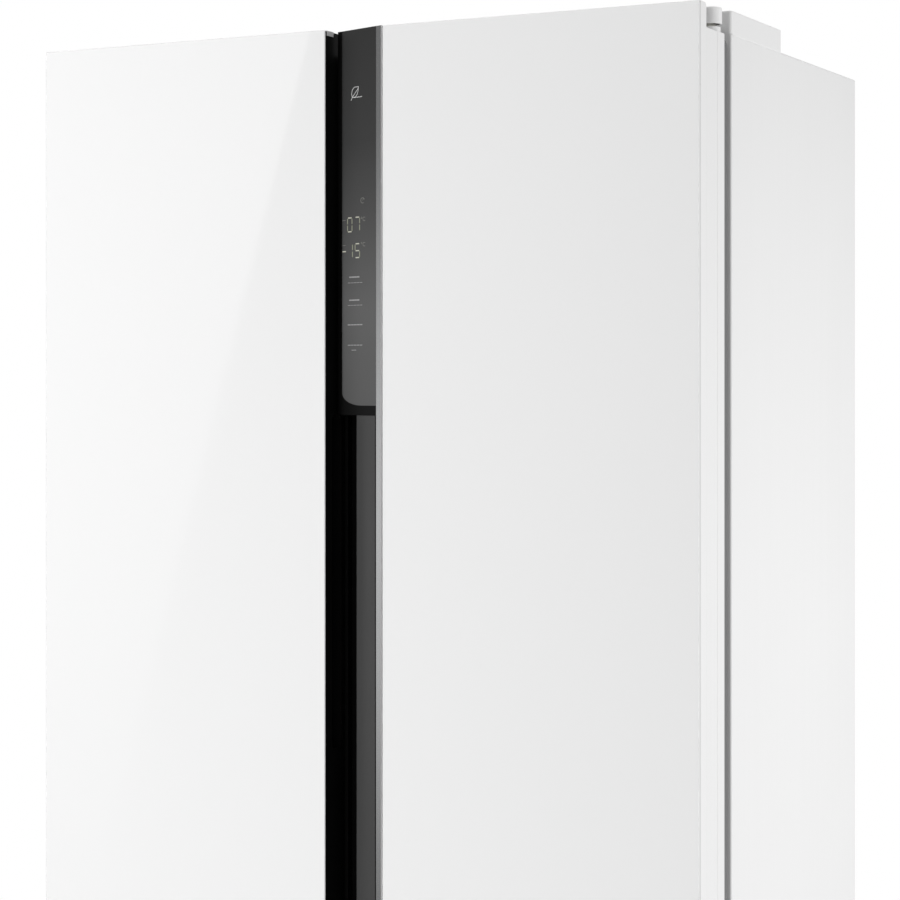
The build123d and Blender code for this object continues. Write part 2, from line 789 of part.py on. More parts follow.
def interior_lamps():
    """Lamp covers in the roofs of the two compartments."""
    lamps = Part()
    for span in (freezer_x, fridge_x):
        middle = (span[0] + span[1]) / 2
        x = (middle - lamp_length / 2, middle + lamp_length / 2)
        lamp = block(x, (y_shelf - 6 - lamp_width, y_shelf - 6), (tub_top - lamp_height, tub_top))
        lamps += fillet(lamp.faces().sort_by(Axis.Z)[0].edges(), 4)
    return lamps


# ---------------------------------------------------------------- shelves and drawers
def shelf_glasses():
    """Glass plates of all the shelves, resting on the ledges of the two tubs."""
    glasses = Part()
    for x, y_back in ((freezer_x, y_duct), (fridge_x, y_fridge_duct)):
        for height in shelf_heights:
            glasses += block(
                inset(x, shelf_side_gap), (y_shelf + 3, y_back), (height, height + shelf_glass)
            )
    return glasses


def shelf_trims():
    """Front bars of all the shelves, each wrapped round the front edge of its glass."""
    trims = Part()
    for x in (freezer_x, fridge_x):
        for height in shelf_heights:
            z = (height + shelf_glass - shelf_trim, height + shelf_glass + 2)
            span = inset(x, ledge_width + 0.5)
            bar = block(span, (y_shelf - 6, y_shelf + 3), z)
            trims += fillet(bar.edges().filter_by(Axis.X), 2)
    return trims


def drawer(x, depth, z, height):
    """Clear drawer with side rails that run on the ledges and a pull lip."""
    body_x = inset(x, ledge_width + drawer_slack)
    y = (y_case + drawer_front, y_case + drawer_front + depth)
    top = z + height
    box = block(body_x, y, (z, top))
    box -= block(inset(body_x, drawer_wall), inset(y, drawer_wall), (z + drawer_wall, top + 1))
    rail = (top - drawer_rail, top - drawer_rail + 3)
    box += block((x[0] + drawer_slack, body_x[0]), y, rail)
    box += block((body_x[1], x[1] - drawer_slack), y, rail)
    middle = (x[0] + x[1]) / 2
    box -= slab((middle - 55, middle + 55), (y[0] - 1, y[0] + 4), (top - 22, top + 30), 10)
    box += block((body_x[0], body_x[1]), (y[0] - 9, y[0]), (z + 4, z + 12))
    return box


# ---------------------------------------------------------------- doors
def door_glass(x):
    pane = slab(x, (y_glass, y_glass_back), (door_bottom, door_top), 2.0)
    return chamfer(pane.faces().sort_by(Axis.Y)[0].edges(), glass_chamfer)


def door_frame(x):
    """Moulded frame behind the glass. Its solid top stands above the door shell."""
    y = (y_glass_back, y_frame)
    frame = block(x, y, (door_bottom, door_top))
    top_back = frame.edges().filter_by(Axis.X).sort_by(lambda e: e.center().Z + e.center().Y)[-1]
    frame = fillet(top_back, frame_round)
    hollow_z = (door_bottom + frame_wall, step_top - frame_wall)
    return frame - block(inset(x, frame_wall), (y[0] - 1, y[1] + 1), hollow_z)


def bush_holes(x, radius):
    """Upper and lower hinge holes of a door, on the hinge axis at x."""
    upper = post(x, y_hinge, (step_top - bush_length, step_top + 1), radius)
    return upper + post(x, y_hinge, (door_bottom - 1, door_bottom + bush_length), radius)


def door_shell(x, hinge):
    """Ring of painted sheet round the insulation, with the two hinge holes."""
    y = (y_frame, y_shell)
    z = (door_bottom, step_top)
    ring = block(x, y, z) - block(
        inset(x, shell_wall), (y[0] - 1, y[1] + 1), inset(z, shell_wall)
    )
    return ring - bush_holes(hinge, bush_radius + bush_fit)


def door_foam(x, liner_x, hinge):
    """Insulation inside the frame, the shell and the rim of the liner."""
    foam = block(
        inset(x, frame_wall),
        (y_glass_back, y_frame),
        (door_bottom + frame_wall, step_top - frame_wall),
    )
    foam += block(inset(x, shell_wall), (y_frame, y_shell), inset((door_bottom, step_top), shell_wall))
    foam += block(
        inset(liner_x, liner_wall),
        (y_shell, y_door - liner_wall),
        inset((door_bottom, step_top), liner_wall),
    )
    return foam - bush_holes(hinge, bush_radius + bush_fit)


def dyke_span(x, hinge):
    """Width of the liner's raised wall: further in on the hinge side."""
    if hinge > 0:
        return inset(x, dyke_free_inset, dyke_hinge_inset)
    return inset(x, dyke_hinge_inset, dyke_free_inset)


def door_liner(x, hinge):
    """Inner face of a door: rim, back plate and the raised dyke that carries the bins."""
    z = (door_bottom, step_top)
    liner = block(x, (y_shell, y_door), z)
    liner -= block(
        inset(x, liner_wall), (y_shell - 1, y_door - liner_wall), inset(z, liner_wall)
    )
    span = dyke_span(x, hinge)
    y = (y_door - liner_wall, y_door + dyke_depth)
    dyke = slab(span, y, (dyke_low, dyke_high), 16)
    dyke -= slab(
        inset(span, dyke_wall), (y[0] - 1, y[1] + 1), inset((dyke_low, dyke_high), dyke_wall), 8
    )
    return liner + dyke - bush_holes(hinge, bush_radius + bush_fit)


def door_seal(x, hinge):
    """Magnetic seal ring between the door and the cabinet front."""
    y = (y_door, y_case - seal_gap)
    z = inset((door_bottom, step_top), seal_end_inset)
    span = seal_span(x, hinge, seal_outer_inset)
    ring = slab(span, y, z, seal_round)
    ring += slab(seal_span(x, hinge, seal_side_inset), (y[0], y[0] + seal_lip_depth), z, seal_round)
    return ring - slab(inset(span, seal_width), inset(y, -1), inset(z, seal_width), 3)


def seal_span(x, hinge, hinge_side_inset):
    """Width that a seal ring takes up on a door, from its inset at the hinge edge."""
    if hinge > 0:
        return inset(x, seal_middle_inset, hinge_side_inset)
    return inset(x, hinge_side_inset, seal_middle_inset)


def door_bushes(hinge):
    """Upper and lower hinge bushes, each with a collar outside the door."""
    upper = post(hinge, y_hinge, (step_top - bush_length, step_top), bush_radius)
    upper += post(hinge, y_hinge, (step_top, step_top + bush_collar), bush_collar_radius)
    lower = post(hinge, y_hinge, (door_bottom, door_bottom + bush_length), bush_radius)
    bore = post(hinge, y_hinge, (step_top - bush_length - 1, step_top + 9), pin_radius + pin_fit)
    bore += post(hinge, y_hinge, (0, door_bottom + bush_length + 1), pin_radius + pin_fit)
    return upper + lower - bore


def door_bins(x, hinge):
    """Clear bins hung between the dyke's side walls."""
    span = inset(dyke_span(x, hinge), dyke_wall)
    bins = Part()
    for height in bin_heights:
        z = (height, height + bin_height)
        bin_box = tray(span, (y_door + 2, y_door + 2 + bin_depth), z, bin_wall)
        front = bin_box.edges().filter_by(Axis.Z).sort_by(Axis.Y)[-4:]
        bins += fillet(front.sort_by(lambda e: abs(e.center().X - sum(span) / 2))[-2:], 6)
    return bins


# ---------------------------------------------------------------- grips and control panel
def panel_point(reach, back=0.0):
    """Point on the slanted face, reach from the trim, moved back by back."""
    return (x_trim - reach, y_glass + panel_face_start + panel_slope * reach + back)


def left_door_grip():
    """Black profile on the left door's inner edge, with the finger pocket."""
    x = (x_left_edge - left_grip_width, x_left_edge)
    grip = block(x, (y_glass_back, y_frame), (door_bottom, door_top - door_cap))
    grip += block(x, (y_frame, y_frame + left_grip_back), (door_bottom, door_top - 1))
    grip += block(x, (y_frame, y_shell), (door_bottom, step_top))
    pocket_top = door_top - panel_height - panel_foot
    pocket = slab(
        (y_glass + left_pocket_front, y_glass + left_pocket_back),
        (0, left_pocket_depth + 10),
        (pocket_top - left_pocket_height, pocket_top),
        8,
    )
    pocket = Pos(x_left_edge + 10, 0, 0) * Rot(0, 0, 90) * pocket
    return grip - pocket


def left_door_cap():
    """Small end cap over the top of the left door's grip profile."""
    x = (x_left_edge - left_grip_width, x_left_edge)
    return block(x, (y_glass_back, y_frame), (door_top - door_cap, door_top))


def trim_strip():
    """Bright strip along the inner edge of the right glass; its face carries on the panel's slant."""
    points = [
        panel_point(-trim_width),
        (x_trim + trim_width, y_glass_back),
        (x_trim, y_glass_back),
        panel_point(0),
    ]
    return prism(points, (door_bottom, door_top))


def right_door_grip():
    """Black channel below the control panel: slanted lip, finger space and back wall."""
    lip_back = lip_thickness
    points = [
        (x_trim, y_glass + panel_face_start + 2),
        panel_point(1.5),
        panel_point(lip_reach - 1.5),
        panel_point(lip_reach, 1.0),
        panel_point(lip_reach - 1, lip_back),
        panel_point(channel_wall, lip_back),
        (x_trim - channel_wall, y_shell - channel_wall),
        (x_right_edge + channel_wall, y_shell - channel_wall),
        (x_right_edge + channel_wall, y_shell - channel_return),
        (x_right_edge, y_shell - channel_return),
        (x_right_edge, y_shell),
        (x_right_body, y_shell),
        (x_right_body, y_glass_back),
        (x_trim, y_glass_back),
    ]
    return prism(points, (door_bottom, door_top - panel_height - panel_foot))


def panel_outline(back):
    """Outline of the control panel housing whose slanted face is moved back by back."""
    return [
        panel_point(0, back),
        panel_point(panel_reach, back),
        (x_right_edge, y_shell),
        (x_right_body, y_shell),
        (x_right_body, y_glass_back),
        (x_trim, y_glass_back),
    ]


def panel_glass_mask():
    """Upright outline of the control glass, its lower outer corner a quarter ellipse."""
    x = (x_trim - panel_glass_reach, x_trim)
    z = (door_top - panel_height, door_top)
    edge = Polyline(
        (x[0], z[0] + panel_corner_height),
        (x[0], z[1]),
        (x[1], z[1]),
        (x[1], z[0]),
        (x[0] + panel_corner_width, z[0]),
    )
    corner = EllipticalCenterArc(
        (x[0] + panel_corner_width, z[0] + panel_corner_height),
        panel_corner_width,
        panel_corner_height,
        start_angle=180,
        arc_size=90,
    )
    face = Plane(origin=(0, y_shell, 0), x_dir=(1, 0, 0), z_dir=(0, -1, 0)) * make_face(
        edge + corner
    )
    return extrude(face, y_shell - y_glass + 1)


def panel_glass_shape():
    """Control glass: a slab on the slanted face."""
    points = [
        panel_point(0),
        panel_point(panel_glass_reach),
        panel_point(panel_glass_reach, panel_glass),
        panel_point(0, panel_glass),
    ]
    return prism(points, (door_top - panel_height, door_top)) & panel_glass_mask()


def display_housing():
    """Black body behind the control glass, hollow for the board, with a plain foot bar."""
    low = door_top - panel_height - panel_foot
    body = prism(panel_outline(0.0), (low, door_top))
    body -= panel_glass_shape()
    body -= block(
        (x_right_edge - 1, x_right_body + 1), (y_frame + 6, y_shell + 1), (step_top, door_top + 1)
    )
    body -= board_space()
    return body


def board_space():
    return block(
        (x_right_edge + 6, x_right_body - 6),
        (y_glass + 31, y_shell - 4),
        (door_top - panel_height + 20, step_top - 40),
    )


def display_board():
    """Circuit board with its display blocks, upright behind the control glass."""
    x = (x_right_edge + 8, x_right_body - 8)
    y = (y_shell - 10, y_shell - 8.4)
    z = (door_top - panel_height + 26, step_top - 46)
    board = block(x, y, z)
    for drop in (215, 248):
        board += block((x[0] + 6, x[0] + 36), (y[0] - 7, y[0]), (door_top - drop - 12, door_top - drop + 12))
    for drop in (285, 310, 334, 358):
        board += block((x[0] + 14, x[0] + 26), (y[0] - 3, y[0]), (door_top - drop - 6, door_top - drop + 6))
    for height in (z[0], z[1] - 8):
        board += block((x[0] + 4, x[0] + 12), (y[1], y_shell - 4), (height, height + 8))
    return board


# ---------------------------------------------------------------- write every piece
os.makedirs("parts", exist_ok=True)
left_x = (-x_side, x_left_edge)
right_x = (x_right_edge, x_side)
left_body_x = (-x_side, x_left_edge - left_grip_width)
right_body_x = (x_right_body, x_side)

write("outer_case", outer_case())
write("base_pan", base_pan())
write("back_panel", back_panel())
write("cabinet_foam", cabinet_foam())
write("freezer_liner", tub(freezer_x, y_duct, -1))
write("fridge_liner", tub(fridge_x, y_fridge_duct, 1))
write("mullion_strip", mullion_strip())
write("control_box", control_box())
write("machine_cover", machine_cover())
write("cord_gland", cord_gland())
write("rear_spacers", rear_spacers())
write("kick_plate", kick_plate())
write("upper_hinges", both_sides(upper_hinge()))
write("hinge_covers", both_sides(hinge_cover()))
write("lower_hinges", both_sides(lower_hinge()))
write("screws", screws())
write("front_foot_right", front_foot())
write("front_foot_left", mirror(front_foot(), about=Plane.YZ))
write("rear_roller_right", rear_roller())
write("rear_roller_left", mirror(rear_roller(), about=Plane.YZ))
write("roller_brackets", both_sides(roller_bracket()))
write("evaporator", evaporator())
write("condenser", condenser())
write("compressor", compressor())
write("drain_pan", drain_pan())
write("fan_motors", fan_motors())
write("evaporator_fan", evaporator_fan_place * fan(fan_radius))
write("condenser_fan", condenser_fan_place * fan(fan_radius))
write("freezer_duct_cover", freezer_duct_cover())
write("fridge_duct_cover", fridge_duct_cover())
write("interior_lamps", interior_lamps())
write("shelf_glasses", shelf_glasses())
write("shelf_trims", shelf_trims())

upper_drawer_depth = y_duct - y_case - drawer_front - 4
for name, span in (("freezer_drawer", freezer_x), ("crisper", fridge_x)):
    lower = drawer(span, lower_drawer_depth, lower_drawer_z, lower_drawer_height)
    write(name + "_lower", lower)
    upper = drawer(span, upper_drawer_depth, upper_drawer_z, upper_drawer_height)
    write(name + "_upper", upper)

for name, body_x, whole_x, hinge in (
    ("left_door", left_body_x, left_x, -x_hinge),
    ("right_door", right_body_x, right_x, x_hinge),
):
    write(name + "_frame", door_frame(body_x))
    write(name + "_shell", door_shell(body_x, hinge))
    write(name + "_foam", door_foam(body_x, whole_x, hinge))
    write(name + "_liner", door_liner(whole_x, hinge))
    write(name + "_seal", door_seal(whole_x, hinge))
    write(name + "_bushes", door_bushes(hinge))
    write(name + "_bins", door_bins(whole_x, hinge))
write("left_door_glass", door_glass(left_x))
write("right_door_glass", door_glass((x_trim + trim_width, x_side)))
write("left_door_grip", left_door_grip())
write("left_door_cap", left_door_cap())
write("right_door_grip", right_door_grip())
write("trim_strip", trim_strip())
write("display_housing", display_housing())
write("display_glass", panel_glass_shape())
write("display_board", display_board())
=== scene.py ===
import json
import math

import bmesh
import bpy
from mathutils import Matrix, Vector


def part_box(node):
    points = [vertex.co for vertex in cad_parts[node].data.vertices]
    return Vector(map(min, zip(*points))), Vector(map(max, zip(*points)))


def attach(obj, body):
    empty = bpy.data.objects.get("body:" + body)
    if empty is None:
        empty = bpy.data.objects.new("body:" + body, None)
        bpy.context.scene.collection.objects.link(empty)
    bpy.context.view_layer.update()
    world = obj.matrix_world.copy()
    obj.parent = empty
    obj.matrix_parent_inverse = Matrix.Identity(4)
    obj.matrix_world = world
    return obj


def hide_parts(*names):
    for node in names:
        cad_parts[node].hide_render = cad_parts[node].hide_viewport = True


# Looks of the side by side refrigerator.
# Metres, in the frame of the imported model: the doors face -Y and +Z is up.

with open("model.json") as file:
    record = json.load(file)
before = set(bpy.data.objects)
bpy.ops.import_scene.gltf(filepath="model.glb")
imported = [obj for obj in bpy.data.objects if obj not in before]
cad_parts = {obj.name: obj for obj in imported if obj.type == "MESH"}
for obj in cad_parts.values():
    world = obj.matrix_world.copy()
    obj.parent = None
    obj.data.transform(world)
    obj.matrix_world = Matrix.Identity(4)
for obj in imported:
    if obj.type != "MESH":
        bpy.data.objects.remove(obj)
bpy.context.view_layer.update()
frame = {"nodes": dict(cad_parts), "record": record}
nodes = frame["nodes"]
scene = bpy.context.scene

MM = 0.001


# ---------------------------------------------------------------- shader maths
class Wire:
    """One socket of a finish, with the arithmetic on values that the finishes use."""

    def __init__(self, finish, socket):
        self.finish = finish
        self.socket = socket

    def maths(self, operation, *others):
        values = {n: value for n, value in enumerate((self, *others))}
        return self.finish.node("ShaderNodeMath", {"operation": operation}, values)

    def flipped(self, operation, other):
        values = {0: other, 1: self}
        return self.finish.node("ShaderNodeMath", {"operation": operation}, values)

    def __add__(self, other):
        return self.maths("ADD", other)

    def __radd__(self, other):
        return self.maths("ADD", other)

    def __sub__(self, other):
        return self.maths("SUBTRACT", other)

    def __rsub__(self, other):
        return self.flipped("SUBTRACT", other)

    def __mul__(self, other):
        return self.maths("MULTIPLY", other)

    def __rmul__(self, other):
        return self.maths("MULTIPLY", other)

    def __truediv__(self, other):
        return self.maths("DIVIDE", other)

    def above(self, edge, softness):
        """0 below the edge and 1 above it, over a soft band."""
        ease = {"interpolation_type": "SMOOTHSTEP"}
        band = {"Value": self, "From Min": edge - softness, "From Max": edge + softness}
        return self.finish.node("ShaderNodeMapRange", ease, band)


class Finish:
    """A procedural material: its Principled shader and the nodes that feed it."""

    def __init__(self, name, **constants):
        self.material = bpy.data.materials.new(name)
        self.material.use_nodes = True
        self.tree = self.material.node_tree
        self.shader = self.tree.nodes["Principled BSDF"]
        self.set(**constants)
        self.place = self.node("ShaderNodeTexCoord", {}, {}, "Object")

    def set(self, **inputs):
        """Sets or links inputs of the shader, named with _ for a space."""
        for name, value in inputs.items():
            self.put(self.shader.inputs[name.replace("_", " ")], value)

    def put(self, socket, value):
        if isinstance(value, Wire):
            self.tree.links.new(value.socket, socket)
        elif socket.type == "RGBA" and len(value) == 3:
            socket.default_value = (*value, 1.0)
        else:
            socket.default_value = value

    def node(self, kind, settings, sockets, out=0):
        """Adds a node: its settings first, then its sockets' values or links. Gives one output."""
        made = self.tree.nodes.new(kind)
        for name, value in settings.items():
            if name == "stops":
                self.stops(made.color_ramp, value)
            else:
                setattr(made, name, value)
        for name, value in sockets.items():
            self.put(made.inputs[name], value)
        return Wire(self, made.outputs[out])

    def stops(self, ramp, stops):
        while len(ramp.elements) < len(stops):
            ramp.elements.new(1.0)
        for element, (position, colour) in zip(ramp.elements, stops):
            element.position = position
            element.color = (*colour, 1.0)

    def scaled(self, *factors):
        """The object's own coordinates stretched by a factor along each axis."""
        settings = {"operation": "MULTIPLY"}
        return self.node("ShaderNodeVectorMath", settings, {0: self.place, 1: factors})

    def noise(self, scale, detail=2.0, place=None):
        sockets = {"Vector": place or self.place, "Scale": scale, "Detail": detail}
        return self.node("ShaderNodeTexNoise", {}, sockets, "Fac")

    def blend(self, factor, first, second):
        """A colour between two colours."""
        mixed = {"Factor": factor, 6: first, 7: second}
        return self.node("ShaderNodeMix", {"data_type": "RGBA"}, mixed, 2)

    def cells(self, scale, out):
        """Random cells: their colour or the distance to their middle."""
        sockets = {"Vector": self.place, "Scale": scale}
        return self.node("ShaderNodeTexVoronoi", {"feature": "F1"}, sockets, out)

    def split(self, kind, socket, value, out=0):
        """One channel of a colour or a vector."""
        return self.node(kind, {}, {socket: value}, out)

    def rise(self, low, high):
        """Height as a share of the way from low to high."""
        height = self.split("ShaderNodeSeparateXYZ", "Vector", self.place, "Z")
        return (height - low) / (high - low)

    def ramp(self, factor, stops):
        """Colour from a list of (position, colour) stops."""
        return self.node("ShaderNodeValToRGB", {"stops": stops}, {"Fac": factor}, "Color")

    def bump(self, height, distance):
        """Raises the surface by height times distance, in metres."""
        self.set(Normal=self.node("ShaderNodeBump", {}, {"Height": height, "Distance": distance}))


def grey(level):
    return (level, level, level)


def shade(colour, factor):
    return tuple(channel * factor for channel in colour)


def varied(finish, colour, scale, spread, place=None):
    """Base colour that drifts slowly between a little darker and a little lighter."""
    drift = finish.noise(scale, 3.0, place)
    return finish.blend(drift, shade(colour, 1 - spread), shade(colour, 1 + spread))


# ---------------------------------------------------------------- finishes
WHITE_ENAMEL = (0.80, 0.80, 0.80)
WHITE_MOULDING = (0.80, 0.80, 0.80)
WHITE_LINER = (0.80, 0.80, 0.80)
WHITE_GLASS = (0.83, 0.83, 0.83)


def cabinet_white():
    """Baked enamel on sheet steel: fine orange peel, faint upright roller streaks."""
    f = Finish("cabinet_white", IOR=1.5)
    streaks = f.noise(1.0, 4.0, f.scaled(160, 160, 1.2))
    colour = varied(f, WHITE_ENAMEL, 3.0, 0.006)
    f.set(Base_Color=f.blend(streaks, shade(WHITE_ENAMEL, 0.975), colour))
    f.set(Roughness=0.30 + f.noise(9.0, 4.0) * 0.12)
    f.bump(f.noise(420.0, 2.0), 0.00006)
    return f


def galvanised_sheet():
    """Zinc-coated sheet with its crystal spangle and a dull bloom."""
    f = Finish("galvanised_sheet")
    tone = f.split("ShaderNodeSeparateColor", "Color", f.cells(95.0, "Color"))
    bloom = f.noise(6.0, 5.0).above(0.55, 0.15)
    zinc = f.blend(tone, (0.52, 0.54, 0.56), (0.70, 0.72, 0.74))
    f.set(Base_Color=f.blend(bloom * 0.6, zinc, (0.66, 0.67, 0.67)))
    f.set(Metallic=0.85 - bloom * 0.3)
    f.set(Roughness=0.34 + tone * 0.16 + bloom * 0.15)
    f.bump(tone, 0.00002)
    return f


def foam():
    """Rigid polyurethane foam: pale straw colour with open cells and a rough skin."""
    f = Finish("foam", IOR=1.3)
    pores = f.cells(520.0, "Distance")
    swirl = f.noise(14.0, 5.0)
    f.set(Base_Color=f.blend(swirl, (0.78, 0.66, 0.38), (0.88, 0.80, 0.55)))
    f.set(Roughness=0.82 + swirl * 0.1)
    f.bump(pores * 0.6 + f.noise(60.0, 5.0), 0.0008)
    return f


def liner_white():
    """Glossy vacuum-formed polystyrene, softly uneven like all deep mouldings."""
    f = Finish("liner_white", IOR=1.55)
    f.set(Base_Color=varied(f, WHITE_LINER, 5.0, 0.01))
    f.set(Roughness=0.18 + f.noise(12.0, 4.0) * 0.12)
    f.bump(f.noise(70.0, 2.0), 0.00012)
    return f


def grained(name, colour, roughness, scale, depth, spread=0.06):
    """Moulded plastic with a spark-eroded grain."""
    f = Finish(name, IOR=1.48)
    f.set(Base_Color=varied(f, colour, 11.0, spread))
    f.set(Roughness=roughness + f.noise(25.0, 4.0) * 0.1)
    f.bump(f.noise(scale, 2.0), depth)
    return f


def grey_plastic():
    return grained("grey_plastic", (0.30, 0.305, 0.31), 0.46, 1300.0, 0.00005)


def black_plastic():
    return grained("black_plastic", (0.022, 0.022, 0.024), 0.42, 1100.0, 0.00006)


def cover_white():
    """Semi-gloss white moulding."""
    return grained("cover_white", WHITE_MOULDING, 0.28, 900.0, 0.00002, 0.008)


def rubber():
    return grained("rubber", (0.02, 0.02, 0.02), 0.68, 700.0, 0.0001)


def brushed(name, colour, roughness, along):
    """Drawn or rolled metal: fine lines along one axis and faint blotches."""
    f = Finish(name, Metallic=1.0)
    lines = f.noise(1.0, 3.0, f.scaled(*along))
    blotch = f.noise(30.0, 4.0)
    mixed = lines * 0.5 + blotch * 0.5
    f.set(Base_Color=f.blend(mixed, shade(colour, 0.88), shade(colour, 1.06)))
    f.set(Roughness=roughness + lines * 0.12 + blotch * 0.06)
    f.bump(lines, 0.00001)
    return f


def zinc_steel():
    return brushed("zinc_steel", (0.66, 0.65, 0.60), 0.26, (900, 60, 900))


def fin_aluminium():
    return brushed("fin_aluminium", (0.77, 0.78, 0.79), 0.30, (1200, 1200, 80))


def satin_silver():
    return brushed("satin_silver", (0.72, 0.73, 0.74), 0.28, (40, 1400, 1400))


def compressor_black():
    """Black paint on a pressed steel can, slightly sagged and dusty."""
    f = Finish("compressor_black", IOR=1.5)
    dust = f.noise(18.0, 5.0).above(0.58, 0.12)
    f.set(Base_Color=f.blend(dust * 0.35, (0.016, 0.016, 0.017), (0.10, 0.10, 0.095)))
    f.set(Roughness=0.30 + dust * 0.3)
    f.bump(f.noise(260.0, 3.0), 0.00008)
    return f


def lamp_diffuser():
    """Frosted lamp cover with fine upright prisms."""
    f = Finish("lamp_diffuser", IOR=1.49, Emission_Strength=6.0)
    sockets = {"Vector": f.place, "Scale": 160.0}
    ribs = f.node("ShaderNodeTexWave", {"bands_direction": "X"}, sockets)
    f.set(Base_Color=f.blend(ribs, (0.86, 0.88, 0.90), (0.95, 0.96, 0.98)))
    f.set(Emission_Color=f.blend(ribs, (0.80, 0.85, 0.95), (1.0, 1.0, 1.0)))
    f.set(Roughness=0.35 + f.noise(40.0) * 0.1)
    f.bump(ribs, 0.0002)
    return f


def clear(name, tint, roughness, weight, ior):
    """See-through plastic or glass with faint flow marks."""
    f = Finish(name, IOR=ior, Transmission_Weight=weight)
    flow = f.noise(7.0, 3.0)
    f.set(Base_Color=f.blend(flow, shade(tint, 0.985), tint))
    f.set(Roughness=roughness + flow * 0.03)
    f.bump(f.noise(35.0, 1.0), 0.00004)
    return f


def shelf_glass():
    return clear("shelf_glass", (0.93, 0.975, 0.96), 0.01, 0.93, 1.48)


def clear_plastic():
    return clear("clear_plastic", (0.965, 0.972, 0.975), 0.04, 0.90, 1.40)


def door_glass_white():
    """White paint behind clear glass: a mirror-smooth face with the faintest roller wave."""
    f = Finish("door_glass_white", IOR=1.52)
    f.set(Base_Color=varied(f, WHITE_GLASS, 2.2, 0.003))
    f.set(Roughness=0.015 + f.noise(6.0, 4.0) * 0.02)
    f.bump(f.noise(3.0, 1.0), 0.00002)
    return f


def glass_edge(name, colour):
    """Ground edge of the door glass, satin; the pale grey one also paints a highlight on the metal
    trim's side.
    """
    f = Finish(name, IOR=1.3)
    f.set(Base_Color=varied(f, colour, 60.0, 0.08))
    f.set(Roughness=0.22 + f.noise(200.0) * 0.2)
    f.bump(f.noise(1500.0), 0.00002)
    return f


def seal_grey():
    """Soft vinyl seal, matt, with a little dust in its folds."""
    f = Finish("seal_grey", IOR=1.45)
    f.set(Base_Color=varied(f, (0.155, 0.157, 0.158), 16.0, 0.08))
    f.set(Roughness=0.52 + f.noise(30.0, 4.0) * 0.15)
    f.bump(f.noise(600.0, 2.0), 0.00006)
    return f


def grip_black():
    """Deep black moulding with faint finger smears."""
    f = Finish("grip_black", IOR=1.18)
    smear = f.noise(1.0, 4.0, f.scaled(14, 14, 5)).above(0.56, 0.14)
    f.set(Base_Color=varied(f, (0.005, 0.005, 0.005), 9.0, 0.2))
    f.set(Roughness=0.34 + smear * 0.08 + f.noise(240.0) * 0.03)
    f.bump(f.noise(900.0), 0.00001)
    return f


def lip_satin():
    """Dark grey satin face of the pull lip, rubbed a little by fingers."""
    f = Finish("lip_satin", IOR=1.3)
    rubbed = f.noise(1.0, 4.0, f.scaled(30, 30, 6)).above(0.55, 0.15)
    f.set(Base_Color=varied(f, (0.050, 0.050, 0.050), 14.0, 0.05))
    f.set(Roughness=0.42 - rubbed * 0.08)
    f.bump(f.noise(1200.0), 0.00001)
    return f


def trim_metal():
    """Dark bright-drawn trim with lines along its length."""
    f = Finish("trim_metal", Metallic=1.0)
    lines = f.noise(1.0, 3.0, f.scaled(1500, 1500, 4))
    f.set(Base_Color=f.blend(lines, (0.47, 0.475, 0.48), (0.52, 0.525, 0.53)))
    f.set(Roughness=0.17 + lines * 0.06)
    f.bump(lines, 0.000004)
    return f


def panel_glass():
    """Smoked control glass with a painted reflection: base colour lighter low down by the display,
    fading darker upwards.
    """
    f = Finish("panel_glass", IOR=1.2)
    low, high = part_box("display_glass")
    # painted reflection: base colour levels by height, brightest a quarter of the way up, darker
    # towards the top
    painted_reflection = ((0.0, 0.092), (0.26, 0.108), (0.50, 0.070), (0.70, 0.043), (1.0, 0.033))
    tone = f.ramp(f.rise(low.z, high.z), [(share, grey(level)) for share, level in painted_reflection])
    f.set(Base_Color=f.blend(f.noise(20.0) * 0.12, tone, (0.03, 0.03, 0.03)))
    f.set(Roughness=0.30 + f.noise(30.0, 4.0) * 0.04)
    f.bump(f.noise(5.0, 1.0), 0.00001)
    return f


def board_green():
    """Solder mask over copper tracks."""
    f = Finish("board_green", IOR=1.5)
    tracks = f.node("ShaderNodeTexBrick", {"offset": 0.37}, {
        "Vector": f.place, "Scale": 220.0, "Mortar Size": 0.09,
        "Color1": grey(1.0), "Color2": grey(1.0), "Mortar": grey(0.0),
    })
    mask = f.split("ShaderNodeSeparateColor", "Color", tracks)
    f.set(Base_Color=f.blend(mask, (0.07, 0.30, 0.12), (0.02, 0.12, 0.05)))
    f.set(Roughness=0.28 + mask * 0.15)
    f.bump(1 - mask, 0.00004)
    return f


def lit_mark(name, colour, strength):
    """Lit segments seen through smoked glass."""
    f = Finish(name, IOR=1.45, Emission_Strength=strength)
    glow = f.noise(300.0, 1.0)
    f.set(Base_Color=f.blend(glow, shade(colour, 0.25), shade(colour, 0.3)))
    f.set(Emission_Color=f.blend(glow, shade(colour, 0.92), colour))
    f.set(Roughness=0.3 + glow * 0.1)
    f.bump(glow, 0.000002)
    return f


def studio_floor():
    """Pale floor with a faint glow of its own; the lamps leave it out, so no spot shows."""
    f = Finish("studio_floor", IOR=1.2, Emission_Strength=0.40)
    f.set(Base_Color=varied(f, (0.86, 0.86, 0.86), 0.8, 0.01))
    f.set(Emission_Color=varied(f, (0.98, 0.98, 0.98), 0.8, 0.01))
    f.set(Roughness=0.7 + f.noise(4.0) * 0.1)
    f.bump(f.noise(300.0), 0.0001)
    return f


FINISHES = {made.__name__: made().material for made in (
    cabinet_white, galvanised_sheet, foam, liner_white, grey_plastic, rubber, black_plastic,
    zinc_steel, cover_white, fin_aluminium, compressor_black, lamp_diffuser, shelf_glass,
    satin_silver, clear_plastic, door_glass_white, seal_grey, grip_black, trim_metal,
    panel_glass, board_green,
)}


